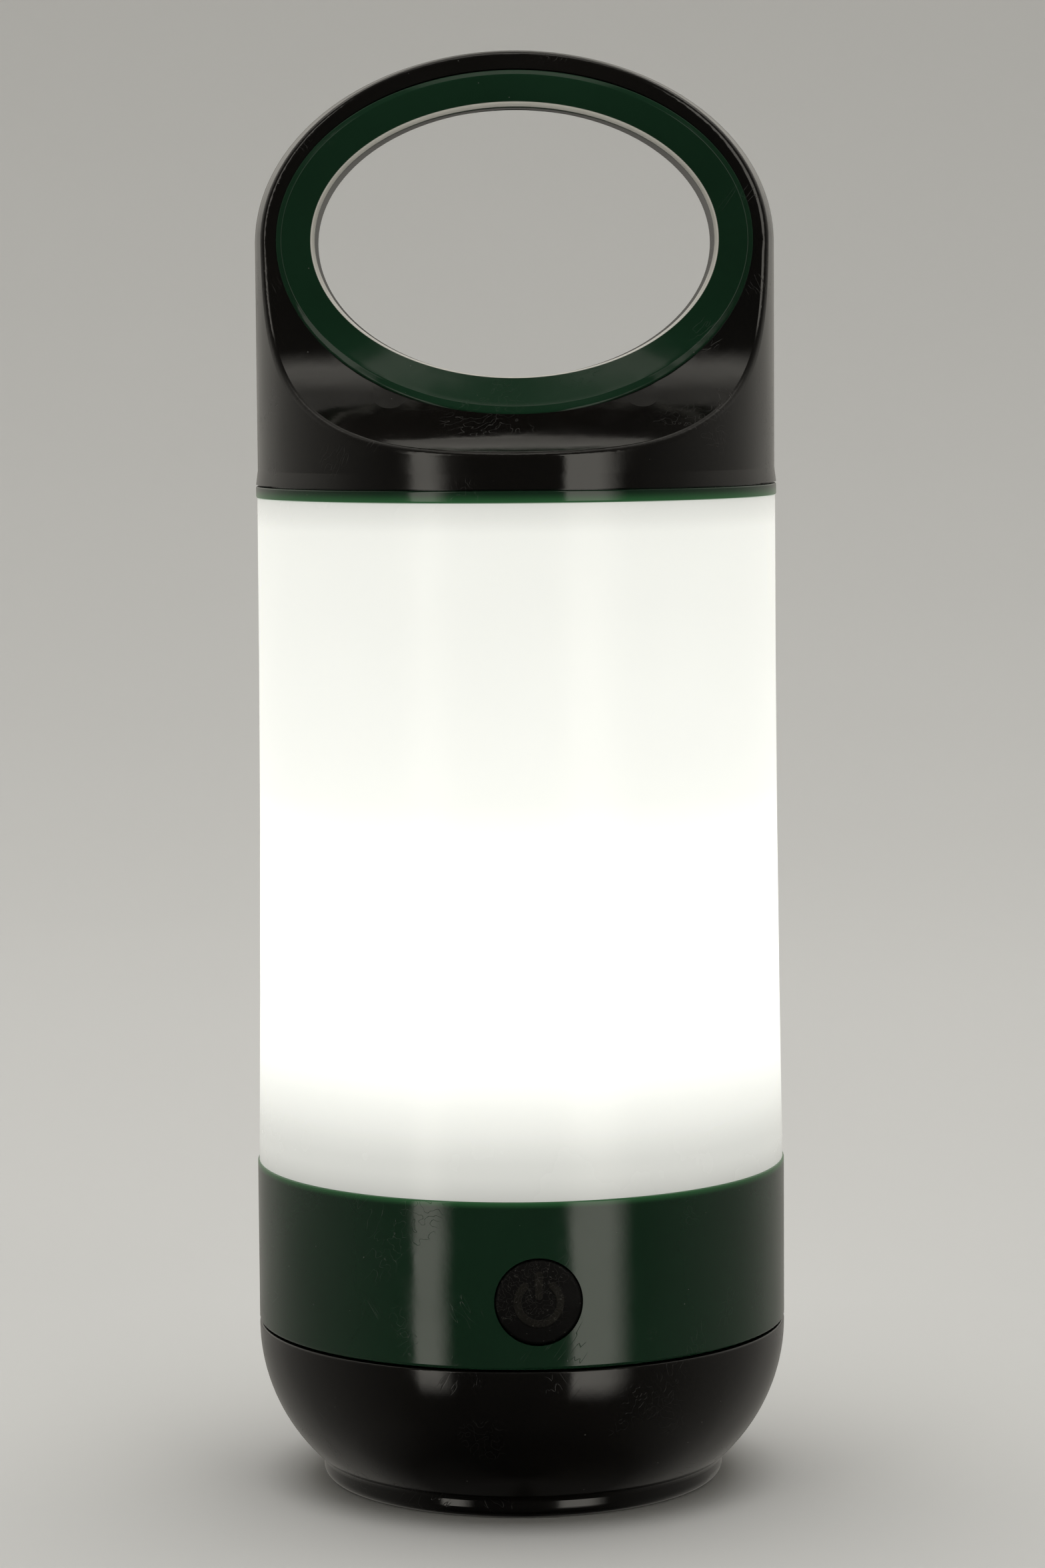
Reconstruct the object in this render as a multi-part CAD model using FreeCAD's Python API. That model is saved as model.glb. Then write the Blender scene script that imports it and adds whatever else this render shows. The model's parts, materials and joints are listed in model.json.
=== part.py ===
"""Battery camping lantern with an arched handle and a screw-off base.

Millimetres. The origin is the centre of the foot's resting plane, +Z is up,
and the hand opening faces -Y. The power button sits a few degrees to the
right of the front.
"""
import FreeCAD, Part
import math
import os
from FreeCAD import Vector

# --- driving dimensions -------------------------------------------------
X_AXIS, Y_AXIS, Z_AXIS = Vector(1, 0, 0), Vector(0, 1, 0), Vector(0, 0, 1)
ORIGIN = Vector(0, 0, 0)
FIT = 0.05            # face-to-face gap of pieces that don't move

# overall form
height = 304.8
body_r = 56.7
seam_z = 34.4         # bowl to green band
band_top = 69.3
diffuser_top = 211.1
rim_top = 213.7       # thin green ring to black cap
cap_r = 54.9
wall = 2.4

# base cap
foot_r = 43.2
foot_rest_r = 40.8
foot_inner_r = 38.0
foot_recess = 0.8
bowl_arc_r = 38.85    # section radius of the bowl
bowl_arc_x = 17.85    # its centre, out from the axis
bowl_arc_z = 33.8
bowl_floor = 2.8      # top of the floor
bowl_bore_r = 52.6
bowl_rim_round = 0.5
waist_round = 1.2     # where the bowl meets the foot
swivel_boss_r, swivel_boss_top, swivel_pilot_r = 3.2, 4.05, 1.3
seam_gap = 0.35

# quick thread between the neck and the base cap
thread_starts = 3
thread_lead = 16.0
rib_sweep = 95.0      # degrees of each rib on the neck
lug_sweep = 25.0
lug_start = 65.0      # from the rib's low end, when screwed home
rib_low_z = 23.6
rib_crest_r = 52.2
lug_crest_r = 51.05
rib_half = 1.1
lug_half = 0.9
thread_play = 0.3
thread_taper = 0.3

# body core
neck_r = 50.7
neck_inner_r = 48.7
neck_foot_z = 21.0
core_top = 68.5
ledge_z = 66.5
ledge_inner_r, ledge_thick = 46.2, 2.0
shoulder_thick, collar_deep = 2.2, 2.5
shoulder_r = 54.1
boss_circle_r = 46.8  # deck screws
boss_r, boss_foot = 2.9, 50.0
seal_r, seal_drop = 0.75, 1.5
band_top_round, band_foot_round = 0.35, 0.7

# screws: clearance and pilot radii of the two sizes
large_clear, large_pilot = 1.7, 1.5
small_clear, small_pilot = 1.2, 1.0

# D cells
cell_r = 17.1
cell_can = 60.0
cell_nub_r = 4.75
cell_nub = 1.5
cell_can_round, cell_nub_round = 1.0, 0.5
cell_circle_r = 20.6
cell_foot_z = 5.65
cell_length = cell_can + cell_nub
cell_top = cell_foot_z + cell_length
cell_angles = [90, 210, 330]
gap_angles = [30, 150, 270]
nub_down = [False, True, True]

# battery cradle and contact carrier
tube_r = 18.75
tube_bore_r = 17.55
cradle_foot_z = 9.5
cradle_top = 68.4
post_r = 2.2
flange_r = 48.4
rib_in, rib_out, rib_width = 14.0, 28.5, 3.0
carrier_r = 37.0
carrier_z, carrier_top = 3.1, 5.1
prong_in, prong_out, prong_width, prong_top = 24.0, 28.0, 2.0, 17.0
prong_gap = 0.4
strip_thick = 0.48
link_pad_r, terminal_pad_r, top_pad_r = 5.5, 5.5, 6.5
carrier_chamfer = 0.5
screw_cavity_r, screw_head_cavity_r = 3.3, 4.8
spring_gauge_r, spring_coil_r = 0.4, 5.4
board_thick = 1.6

# contact board, deck and lamp
board_z = 70.9
contact_board_r = 37.0
post_circle_r = 33.0
hat_r = 44.0
hat_top = 76.5
hat_thick = 2.0
deck_r = 53.9
led_board_r = 20.0
led_count = 12
led_circle_r = 11.0
led_screw_circle_r = 16.5
led_case, led_case_high, led_lens_r, led_lens_high = 3.0, 0.7, 1.15, 0.9
hat_round = 1.5

# diffuser
diffuser_foot_r, diffuser_mid_r, diffuser_top_r = 56.4, 55.5, 55.07
diffuser_wall = 2.0

# top plate and reflector
rim_r = 55.3
rim_inner_r, rim_round = 51.0, 0.4
plate_low, plate_high = 211.5, 213.5
spigot_r, spigot_foot = 52.6, 206.5
collar_r, collar_inner_r, collar_top = 52.1, 50.2, 217.5
reflector_skin, reflector_lip_z, reflector_r = 1.6, 204.6, 50.7
handle_boss_r, handle_boss_top, pilot_depth = 3.4, 245.0, 9.5
screw_xy = (26.0, 31.0)
cone_z = 196.0

# handle and its opening
dome_z = 264.5
dome_rise = height - dome_z
opening_z = 264.8
opening_a, opening_b = 42.4, 28.8     # half width and half height at the bead
bead = 0.7
trim_a, trim_b = 49.8, 35.5
trim_proud = 0.9
trim_sink = 1.0
trim_round = 0.6
edge_round = 1.5      # where the scooped faces meet the dome
scoop_points = [(8.7, 307.0), (15.0, 265.0), (17.6, 250.5), (23.6, 240.0), (36.6, 228.7),
                (50.0, 222.3), (57.5, 221.0)]     # half thickness, height
sleeve_wall = 1.7
peg_r = 1.45
peg_angles = [40, 140, 220, 320]

# power button
button_angle = 3.3    # degrees to the right of the front
button_z = 48.7
button_r = 8.8
button_gap = 0.3
button_face = 57.1
button_dome = 0.5
button_flange_r = 10.2
window_r = 11.0
button_round = 0.7
flange_foot, flange_top = 51.6, 52.8      # distances from the lantern's axis
button_stem_r, button_stem_end = 2.5, 46.45
symbol_r, symbol_width, symbol_bar, symbol_rise = 4.4, 1.5, 5.4, 0.2
symbol_gap = 4.8      # opening at the top of the symbol's ring
plunger_r, plunger_end = 1.7, 43.9
switch_half, switch_back, switch_front = 3.0, 41.52, 45.0
board_half_x, board_half_z, board_back = 14.0, 11.0, 39.9
switch_post_r, switch_post_xz = 2.4, (11.5, 8.5)
seal_thick, seal_near = 1.2, 49.0

# wires from the switch to the cells and the lamp
wire_r = 0.8
wire_bend = 3.0
wire_y = -38.95
pass_hole_r = 1.2
wire_xs = (-4, 4)


# --- helpers --------------------------------------------------------------
def cylinder(radius, low, high, at=(0, 0)):
    return Part.makeCylinder(radius, high - low, Vector(at[0], at[1], low), Z_AXIS)


def tube(outer, inner, low, high, at=(0, 0)):
    return cylinder(outer, low, high, at).cut(cylinder(inner, low - 1, high + 1, at))


def block(x, y, z):
    """Box between the low and high values of x, y and z."""
    return Part.makeBox(x[1] - x[0], y[1] - y[0], z[1] - z[0], Vector(x[0], y[0], z[0]))


def inward(radius, near, far, x=0.0, z=button_z):
    """Cylinder along Y at the front, between the distances near and far from the axis."""
    return Part.makeCylinder(radius, far - near, Vector(x, -far, z), Y_AXIS)


def revolve(edges):
    """Solid turned about Z from edges, or points (radius, z), that enclose one area."""
    if not hasattr(edges[0], "Curve"):
        edges = polyline(edges + [edges[0]])
    return Part.Face(Part.Wire(edges)).revolve(ORIGIN, Z_AXIS, 360)


def polyline(points):
    spots = [Vector(r, 0, z) for r, z in points]
    return [Part.LineSegment(a, b).toShape() for a, b in zip(spots, spots[1:])]


def arc(a, b, c):
    spots = [Vector(r, 0, z) for r, z in (a, b, c)]
    return Part.Arc(*spots).toShape()


def turned(shape, angle, centre=ORIGIN):
    copy = shape.copy()
    copy.rotate(centre, Z_AXIS, angle)
    return copy


def around(shape, angles):
    """Copies of a shape turned to each angle."""
    return [turned(shape, angle) for angle in angles]


def polar(radius, angle):
    turn = math.radians(angle)
    return (radius * math.cos(turn), radius * math.sin(turn))


def union(shapes):
    return shapes[0].multiFuse(shapes[1:]).removeSplitter()


def group(shapes):
    return Part.makeCompound(shapes)


def save(node, shape):
    shape.exportStep("parts/%s.step" % node)
    print("%-22s solids %2d  valid %s  volume %9.1f"
          % (node, len(shape.Solids), shape.isValid(), shape.Volume))


def screw(shank_r, head_r, head_height, length, at, head_z, up=False):
    """Pan-head screw. The head's bearing face is at head_z; the shank runs away from it."""
    way = 1 if up else -1
    base = Vector(at[0], at[1], head_z)
    shank = Part.makeCylinder(shank_r, length, base, Z_AXIS * way)
    head = Part.makeCylinder(head_r, head_height, base, Z_AXIS * -way)
    rim = [e for e in head.Edges if abs(e.CenterOfMass.z - (head_z - way * head_height)) < 0.01]
    head = head.makeFillet(0.45 * head_height, [rim[0]])
    slot = block((-head_r, head_r), (-0.25, 0.25), (0, 0.4 * head_height))
    cross = slot.fuse(turned(slot, 90))
    lift = head_z + head_height * 0.65 if not up else head_z - head_height * 1.05
    cross.translate(Vector(at[0], at[1], lift))
    recess = Part.makeCylinder(head_r * 0.62, 9, Vector(at[0], at[1], head_z - 4.5), Z_AXIS)
    return union([shank, head]).cut(cross.common(recess))


def rope(points, radius, bend):
    """Wire insulation along straight runs joined by tangent arcs."""
    spots = [Vector(*p) for p in points]
    edges, start = [], spots[0]
    for before, corner, after in zip(spots, spots[1:], spots[2:]):
        a = (before - corner).normalize()
        b = (after - corner).normalize()
        half = a.getAngle(b) / 2
        back = bend / math.tan(half)
        middle = corner + (a + b).normalize() * (bend / math.sin(half) - bend)
        first, last = corner + a * back, corner + b * back
        edges += [Part.LineSegment(start, first).toShape(), Part.Arc(first, middle, last).toShape()]
        start = last
    edges.append(Part.LineSegment(start, spots[-1]).toShape())
    ring = Part.Circle(spots[0], spots[1] - spots[0], radius).toShape()
    return Part.Wire(edges).makePipeShell([Part.Wire(ring)], True, False)


# --- base cap -------------------------------------------------------------
def bowl_radius(z, inset=0.0):
    return bowl_arc_x + math.sqrt((bowl_arc_r - inset) ** 2 - (bowl_arc_z - z) ** 2)


def base_cap():
    top = seam_z - seam_gap / 2
    foot_wall_z = bowl_arc_z - math.sqrt(bowl_arc_r ** 2 - (foot_r - bowl_arc_x) ** 2)
    middle = 15.0
    foot_round = foot_r - foot_rest_r
    corner = foot_round * (1 - math.sqrt(0.5))
    outer = polyline([(0, foot_recess), (foot_inner_r, foot_recess), (foot_inner_r + 0.8, 0),
                      (foot_rest_r, 0)])
    outer.append(arc((foot_rest_r, 0), (foot_r - corner, corner), (foot_r, foot_round)))
    outer += polyline([(foot_r, foot_round), (foot_r, foot_wall_z)])
    outer.append(arc((foot_r, foot_wall_z), (bowl_radius(middle), middle),
                     (bowl_radius(bowl_arc_z), bowl_arc_z)))
    outer += polyline([(bowl_radius(bowl_arc_z), bowl_arc_z), (bowl_radius(bowl_arc_z), top),
                       (0, top), (0, foot_recess)])
    shell = revolve(outer)
    waist = [e for e in shell.Edges if abs(e.CenterOfMass.z - foot_wall_z) < 0.01]
    shell = shell.makeFillet(waist_round, waist)
    rim = [e for e in shell.Edges if abs(e.CenterOfMass.z - top) < 0.01]
    shell = shell.makeFillet(bowl_rim_round, rim)

    bore_z = bowl_arc_z - math.sqrt((bowl_arc_r - wall) ** 2 - (bowl_bore_r - bowl_arc_x) ** 2)
    floor_r = bowl_radius(bowl_floor, wall)
    inside = polyline([(0, bowl_floor), (floor_r, bowl_floor)])
    inside.append(arc((floor_r, bowl_floor), (bowl_radius(12, wall), 12), (bowl_bore_r, bore_z)))
    inside += polyline([(bowl_bore_r, bore_z), (bowl_bore_r, top + 1), (0, top + 1),
                        (0, bowl_floor)])
    shell = shell.cut(revolve(inside))

    boss = cylinder(swivel_boss_r, bowl_floor - 0.5, swivel_boss_top)
    lug = thread_rib(bowl_bore_r + 0.4, lug_crest_r, lug_half, lug_sweep)
    lug.translate(Vector(0, 0, rib_low_z + rib_half + lug_half + thread_play
                         + thread_lead * lug_start / 360))
    lugs = around(lug, [lug_start + k * 360 / thread_starts for k in range(thread_starts)])
    pilot = cylinder(swivel_pilot_r, foot_recess + 0.8, swivel_boss_top + 1)
    return union([shell, boss] + lugs).cut(pilot)


def thread_rib(root, crest, half, sweep):
    """Piece of a right-hand thread, from angle 0 at height 0, narrower at its crest radius."""
    rise = thread_lead * sweep / 360
    path = Part.makeHelix(thread_lead, rise, (root + crest) / 2)
    at_crest = half - thread_taper
    points = [(root, -half), (crest, -at_crest), (crest, at_crest), (root, half)]
    profile = Part.Wire(polyline(points + [points[0]]))
    return Part.Wire(path).makePipeShell([profile], True, True)


def swivel_screw():
    return screw(1.25, 4.5, 0.9, 2.3, (0, 0), 4.08)


# --- contact carrier ----------------------------------------------------------
def contact_carrier():
    disc = cylinder(carrier_r, carrier_z, carrier_top)
    disc = disc.makeChamfer(carrier_chamfer, [e for e in disc.Edges if e.CenterOfMass.z < carrier_z + 0.01])
    inner = rib_width / 2 + prong_gap
    prong = block((prong_in, prong_out), (inner, inner + prong_width),
                  (carrier_top - 0.5, prong_top))
    pair = [prong, prong.mirror(ORIGIN, Y_AXIS)]
    prongs = [p for one in pair for p in around(one, gap_angles)]
    cavity = cylinder(screw_cavity_r, 0, 9)
    cavity = cavity.fuse(cylinder(screw_head_cavity_r, carrier_z + 0.9, 9))
    return union([disc] + prongs).cut(cavity)


def plate_path(points, width, low, high):
    """Flat strip with round pads at its points, joined by straight bars."""
    pieces = [cylinder(width, low, high, p) for p in points]
    for a, b in zip(points, points[1:]):
        span = math.hypot(b[0] - a[0], b[1] - a[1])
        bar = block((0, span), (-width / 2, width / 2), (low, high))
        bar.rotate(ORIGIN, Z_AXIS, math.degrees(math.atan2(b[1] - a[1], b[0] - a[0])))
        bar.translate(Vector(a[0], a[1], 0))
        pieces.append(bar)
    return union(pieces)


def cell_spots():
    return [polar(cell_circle_r, angle) for angle in cell_angles]


def base_link():
    first, second, _ = cell_spots()
    low = carrier_top + 0.02
    return plate_path([first, second], link_pad_r, low, low + strip_thick)


def base_terminal():
    """Pad under the third cell, joined round the prong to a tab beside the return strip."""
    low = carrier_top + 0.02
    third = cell_spots()[2]
    reach = rib_out + 0.8
    turns = [polar(31.2, gap_angles[0] - 38), polar(31.2, gap_angles[0] - 16),
             polar(reach + 1, gap_angles[0])]
    pad = plate_path([third] + turns, 1.6, low, low + strip_thick)
    pad = pad.fuse(cylinder(terminal_pad_r, low, low + strip_thick, third))
    tab = block((reach, reach + strip_thick), (-2, 2), (low, 14.0))
    return union([pad, turned(tab, gap_angles[0])])


# --- cells ----------------------------------------------------------------------
def battery_cell(spot, upside_down):
    can = cylinder(cell_r, 0, cell_can)
    can = can.makeFillet(cell_can_round, [e for e in can.Edges if e.Curve.TypeId == "Part::GeomCircle"])
    nub = cylinder(cell_nub_r, cell_can - 1, cell_length)
    nub = nub.makeFillet(cell_nub_round, [e for e in nub.Edges if e.CenterOfMass.z > cell_length - 0.01])
    groove = tube(cell_r + 1, cell_r - 0.35, cell_can - 3.4, cell_can - 2.6)
    cell = union([can, nub]).cut(groove)
    if upside_down:
        cell.rotate(Vector(0, 0, cell_length / 2), X_AXIS, 180)
    cell.translate(Vector(spot[0], spot[1], cell_foot_z))
    return cell


# --- battery cradle ----------------------------------------------------------------
def battery_cradle():
    tubes = [cylinder(tube_r, cradle_foot_z, cradle_top, spot) for spot in cell_spots()]
    flange = cylinder(flange_r, ledge_z + FIT, cradle_top)
    rib = block((rib_in, rib_out), (-rib_width / 2, rib_width / 2), (cradle_foot_z, ledge_z))
    posts = [cylinder(post_r, ledge_z + 1, board_z - 0.02, polar(post_circle_r, angle))
             for angle in gap_angles]
    bores = [cylinder(tube_bore_r, 0, board_z, spot) for spot in cell_spots()]
    bores += [cylinder(large_clear, 0, board_z, polar(boss_circle_r, angle)) for angle in cell_angles]
    bores += [cylinder(small_pilot, ledge_z + 0.4, board_z + 1, polar(post_circle_r, angle))
              for angle in gap_angles]
    slot = block((rib_out, rib_out + 1.2), (-2.6, 2.6), (ledge_z - 1, board_z))
    bores.append(turned(slot, gap_angles[0]))
    notch = block((-12, 12), (-41.5, -36.5), (ledge_z - 1, board_z))
    bores.append(turned(notch, button_angle))
    bores.append(cylinder(4.5, 0, board_z))
    return union(tubes + [flange] + around(rib, gap_angles) + posts).cut(group(bores))


def return_strip():
    near = rib_out + 0.05
    return turned(block((near, near + 0.4), (-2, 2), (cradle_foot_z + 0.5, board_z - 0.02)),
                  gap_angles[0])


# --- contact board ---------------------------------------------------------------
def contact_board():
    board = cylinder(contact_board_r, board_z, board_z + board_thick)
    holes = [cylinder(small_clear, 0, 99, polar(post_circle_r, angle)) for angle in gap_angles]
    return board.cut(group(holes))


def contact_board_screws():
    return group([screw(0.95, 1.9, 1.4, 5.2, polar(post_circle_r, angle), board_z + board_thick + FIT)
                  for angle in gap_angles])


def top_terminal():
    second = cell_spots()[1]
    end = polar(30.0, cell_angles[1] + 25)
    low = board_z - 0.02 - strip_thick
    pad = cylinder(top_pad_r, low, low + strip_thick, second)
    return union([pad, plate_path([second, end], 2.2, low, low + strip_thick)])


def top_link():
    first, _, third = cell_spots()
    low = board_z - 0.02 - strip_thick
    strip = plate_path([first, third], top_pad_r, low, low + strip_thick)
    cup = tube(4.0, 3.5, cell_top + 0.05, low + 0.1, first)
    cup_floor = cylinder(4.0, cell_top + 0.05, cell_top + 0.5, first)
    return union([strip, cup, cup_floor])


def top_springs():
    """Two turns of wire over each cell whose flat end is up."""
    gauge_r, coil_r = spring_gauge_r, spring_coil_r
    low = cell_top + FIT + gauge_r
    high = board_z - 0.02 - strip_thick - FIT - gauge_r
    springs = []
    for spot, flat_up in zip(cell_spots(), nub_down):
        if flat_up:
            path = Part.makeHelix((high - low) / 2, high - low, coil_r)
            ring = Part.Wire(Part.Circle(Vector(coil_r, 0, 0), Y_AXIS, gauge_r).toShape())
            coil = Part.Wire(path).makePipeShell([ring], True, True)
            coil.translate(Vector(spot[0], spot[1], low))
            springs.append(coil)
    return group(springs)


# --- body core ------------------------------------------------------------------
def body_core():
    wall_ring = tube(neck_r, neck_inner_r, neck_foot_z, core_top)
    shoulder_z = seam_z + 0.4
    shoulder = tube(shoulder_r, neck_inner_r, shoulder_z, shoulder_z + shoulder_thick)
    collar = tube(shoulder_r, neck_inner_r, core_top - collar_deep, core_top)
    ledge = tube(neck_inner_r + 0.5, ledge_inner_r, ledge_z - ledge_thick, ledge_z)
    ledge = ledge.cut(turned(block((-13, 13), (-60, 0), (0, 99)), button_angle))
    bosses = [cylinder(boss_r, boss_foot, ledge_z, polar(boss_circle_r, angle)) for angle in cell_angles]
    window = turned(inward(window_r, 40, 60), button_angle)
    rib = thread_rib(neck_r - 0.3, rib_crest_r, rib_half, rib_sweep)
    rib.translate(Vector(0, 0, rib_low_z))
    ribs = around(rib, [k * 360 / thread_starts for k in range(thread_starts)])
    posts = [turned(inward(switch_post_r, 41.6, neck_inner_r + 0.6, x, z), button_angle)
             for x, z in switch_posts()]
    core = union([wall_ring, shoulder, collar, ledge] + bosses).cut(window)
    core = union([core] + ribs + posts)
    holes = [cylinder(large_pilot, boss_foot + 5, 99, polar(boss_circle_r, angle)) for angle in cell_angles]
    holes += [turned(inward(1.1, 40, 47.5, x, z), button_angle) for x, z in switch_posts()]
    return core.cut(group(holes))


def base_seal():
    return Part.makeTorus(neck_r + 0.8, seal_r, Vector(0, 0, seam_z - seal_drop), Z_AXIS)


def body_band():
    low = seam_z + seam_gap / 2
    band = tube(body_r, shoulder_r + 0.2, low, band_top)
    top = [e for e in band.Edges if e.CenterOfMass.z > band_top - 0.01 and e.BoundBox.XMax > 55]
    foot = [e for e in band.Edges if e.CenterOfMass.z < low + 0.01 and e.BoundBox.XMax > 55]
    band = band.makeFillet(band_top_round, top).makeFillet(band_foot_round, foot)
    return band.cut(turned(inward(button_r + button_gap, 40, 60), button_angle))


# --- button and switch ---------------------------------------------------------
def switch_posts():
    x, z = switch_post_xz
    return [(x, button_z - z), (-x, button_z + z)]


def power_symbol():
    """Open ring with a bar through its gap, standing on the button's face."""
    near, far = button_face - 2, button_face + symbol_rise
    half = symbol_width / 2
    ring = inward(symbol_r + half, near, far).cut(inward(symbol_r - half, near - 1, far + 1))
    gap = block((-symbol_gap / 2, symbol_gap / 2), (-far - 1, -near + 1), (button_z, button_z + 9))
    bar = block((-half, half), (-far, -near), (button_z + 0.7, button_z + 0.7 + symbol_bar))
    upright = [e for e in bar.Edges if abs(e.tangentAt(e.FirstParameter).y) > 0.9]
    return ring.cut(gap).fuse(bar.makeFillet(half * 0.95, upright))


def power_button():
    cap = inward(button_r, flange_top - 0.8, button_face)
    face = [e for e in cap.Edges if e.CenterOfMass.y < -button_face + 0.01]
    cap = cap.makeFillet(button_round, face)
    dome_r = (button_r ** 2 + button_dome ** 2) / (2 * button_dome)
    dome = Part.makeSphere(dome_r, Vector(0, dome_r - button_face, button_z))
    symbol_dome = Part.makeSphere(dome_r + symbol_rise, Vector(0, dome_r - button_face, button_z))
    flange = inward(button_flange_r, flange_foot, flange_top)
    stem = inward(button_stem_r, button_stem_end, flange_top - 0.8)
    face_mark = power_symbol().common(symbol_dome)
    button = union([cap.common(dome), flange, stem, face_mark])
    return turned(button, button_angle)


def switch_plunger():
    return turned(inward(plunger_r, plunger_end, button_stem_end - FIT), button_angle)


def switch_body():
    half = switch_half
    case = block((-half, half), (-switch_front, -switch_back), (button_z - half, button_z + half))
    return turned(case.cut(inward(plunger_r + 0.1, 42.4, 47)), button_angle)


def switch_board():
    half_x, half_z = board_half_x, board_half_z
    board = block((-half_x, half_x), (0.02 - switch_back, -board_back),
                  (button_z - half_z, button_z + half_z))
    holes = [inward(1.3, 38, 44, x, z) for x, z in switch_posts()]
    return turned(board.cut(group(holes)), button_angle)


def switch_board_screws():
    screws = []
    for x, z in switch_posts():
        shank = inward(1.05, 39.85, 46.5, x, z)
        head = inward(2.0, 38.4, 39.85, x, z)
        screws.append(turned(union([shank, head]), button_angle))
    return group(screws)


def button_seal():
    seal = inward(window_r - 0.1, seal_near, seal_near + seal_thick)
    return turned(seal.cut(inward(2.9, 40, 60)), button_angle)


# --- wires -------------------------------------------------------------------
def battery_lead(x):
    top = board_z - 0.02 - strip_thick - 0.45
    path = [(x, -32.5, top), (x, wire_y, top), (x, wire_y, button_z + 6)]
    return turned(rope(path, wire_r, wire_bend), button_angle)


def led_lead(x):
    over = hat_top + FIT + board_thick + wire_r + FIT
    path = [(x, wire_y, button_z + 6), (x, wire_y, over), (x, -17.5, over)]
    return turned(rope(path, wire_r, wire_bend), button_angle)


# --- deck and lamp --------------------------------------------------------------
def light_deck():
    low = core_top + 0.1
    flange = cylinder(deck_r, low, low + 2.0)
    hat = cylinder(hat_r, low, hat_top)
    hat = hat.makeFillet(hat_round, [e for e in hat.Edges if e.CenterOfMass.z > hat_top - 0.01])
    bay = cylinder(hat_r - hat_thick, low - 1, hat_top - hat_thick)
    holes = [cylinder(large_clear, 0, 99, polar(boss_circle_r, angle)) for angle in cell_angles]
    holes += [cylinder(small_pilot, 0, 99, polar(led_screw_circle_r, angle)) for angle in cell_angles]
    pass_holes = [turned(cylinder(pass_hole_r, 70, 99, (x, wire_y)), button_angle) for x in wire_xs]
    return union([flange, hat]).cut(group([bay] + holes + pass_holes))


def deck_screws():
    head_z = core_top + 2.1 + FIT
    return group([screw(1.45, 2.5, 1.8, 14, polar(boss_circle_r, angle), head_z)
                  for angle in cell_angles])


def led_board():
    low = hat_top + FIT
    board = cylinder(led_board_r, low, low + board_thick)
    holes = [cylinder(small_clear, 0, 99, polar(led_screw_circle_r, angle)) for angle in cell_angles]
    return board.cut(group(holes))


def led_board_screws():
    head_z = hat_top + 2 * FIT + board_thick
    return group([screw(0.95, 1.9, 1.3, 3.4, polar(led_screw_circle_r, angle), head_z)
                  for angle in cell_angles])


def led_emitters():
    low = hat_top + 2 * FIT + board_thick
    half = led_case / 2
    case = block((led_circle_r - half, led_circle_r + half), (-half, half),
                 (low, low + led_case_high))
    lens = cylinder(led_lens_r, low + led_case_high - 0.1, low + led_lens_high, (led_circle_r, 0))
    one = union([case, lens])
    return group(around(one, [k * 360 / led_count for k in range(led_count)]))


# --- diffuser, reflector and top plate ----------------------------------------------
def diffuser():
    low, middle = band_top + FIT, 130.0
    foot, mid, top = diffuser_foot_r, diffuser_mid_r, diffuser_top_r
    skin = diffuser_wall
    edges = [arc((foot, low), (mid, middle), (top, diffuser_top))]
    edges += polyline([(top, diffuser_top), (top - skin, diffuser_top)])
    edges.append(arc((top - skin, diffuser_top), (mid - skin, middle), (foot - skin, low)))
    edges += polyline([(foot - skin, low), (foot, low)])
    return revolve(edges)


def top_plate():
    rim = tube(rim_r, rim_inner_r, diffuser_top + 0.1, rim_top)
    outer = [e for e in rim.Edges if e.BoundBox.XMax > rim_r - 0.01 and e.Length > 300
             and e.BoundBox.ZLength < 0.01]
    rim = rim.makeFillet(rim_round, outer)
    plate = cylinder(rim_inner_r + 0.5, plate_low, plate_high)
    spigot = tube(spigot_r, rim_inner_r, spigot_foot, plate_low + 0.5)
    collar = tube(collar_r, collar_inner_r, plate_high - 0.5, collar_top)
    boss = cylinder(4.0, cone_z + reflector_skin + FIT, plate_low + 0.5)
    holes = [cylinder(large_clear, 205, 220, at) for at in handle_screw_spots()]
    holes.append(cylinder(large_pilot, 190, 210))
    return union([rim, plate, spigot, collar, boss]).cut(group(holes))


def top_reflector():
    skin, lip, edge = reflector_skin, reflector_lip_z, reflector_r
    profile = [(large_clear, cone_z), (8, cone_z), (edge - 2.7, lip), (edge, lip),
               (edge, lip + 1.5), (edge - 3.1, lip + 1.5), (8, cone_z + skin),
               (large_clear, cone_z + skin)]
    return revolve(profile)


def reflector_screw():
    return screw(1.45, 2.8, 1.9, 12, (0, 0), cone_z - FIT, up=True)


# --- handle -------------------------------------------------------------------------
def handle_screw_spots():
    x, y = screw_xy
    return [(x, y), (-x, y), (x, -y), (-x, -y)]


def scoop_curve(offset):
    """Front face of the handle as half thickness against height, moved out by offset."""
    base = Part.BSplineCurve()
    base.interpolate([Vector(0, y, z) for y, z in scoop_points])
    if offset == 0:
        return base
    moved = []
    steps = 14
    for k in range(steps + 1):
        at = base.FirstParameter + (base.LastParameter - base.FirstParameter) * k / steps
        along = base.tangent(at)[0]
        moved.append(base.value(at) + Vector(0, -along.z, along.y) * offset)
    curve = Part.BSplineCurve()
    curve.interpolate(moved)
    return curve


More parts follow.
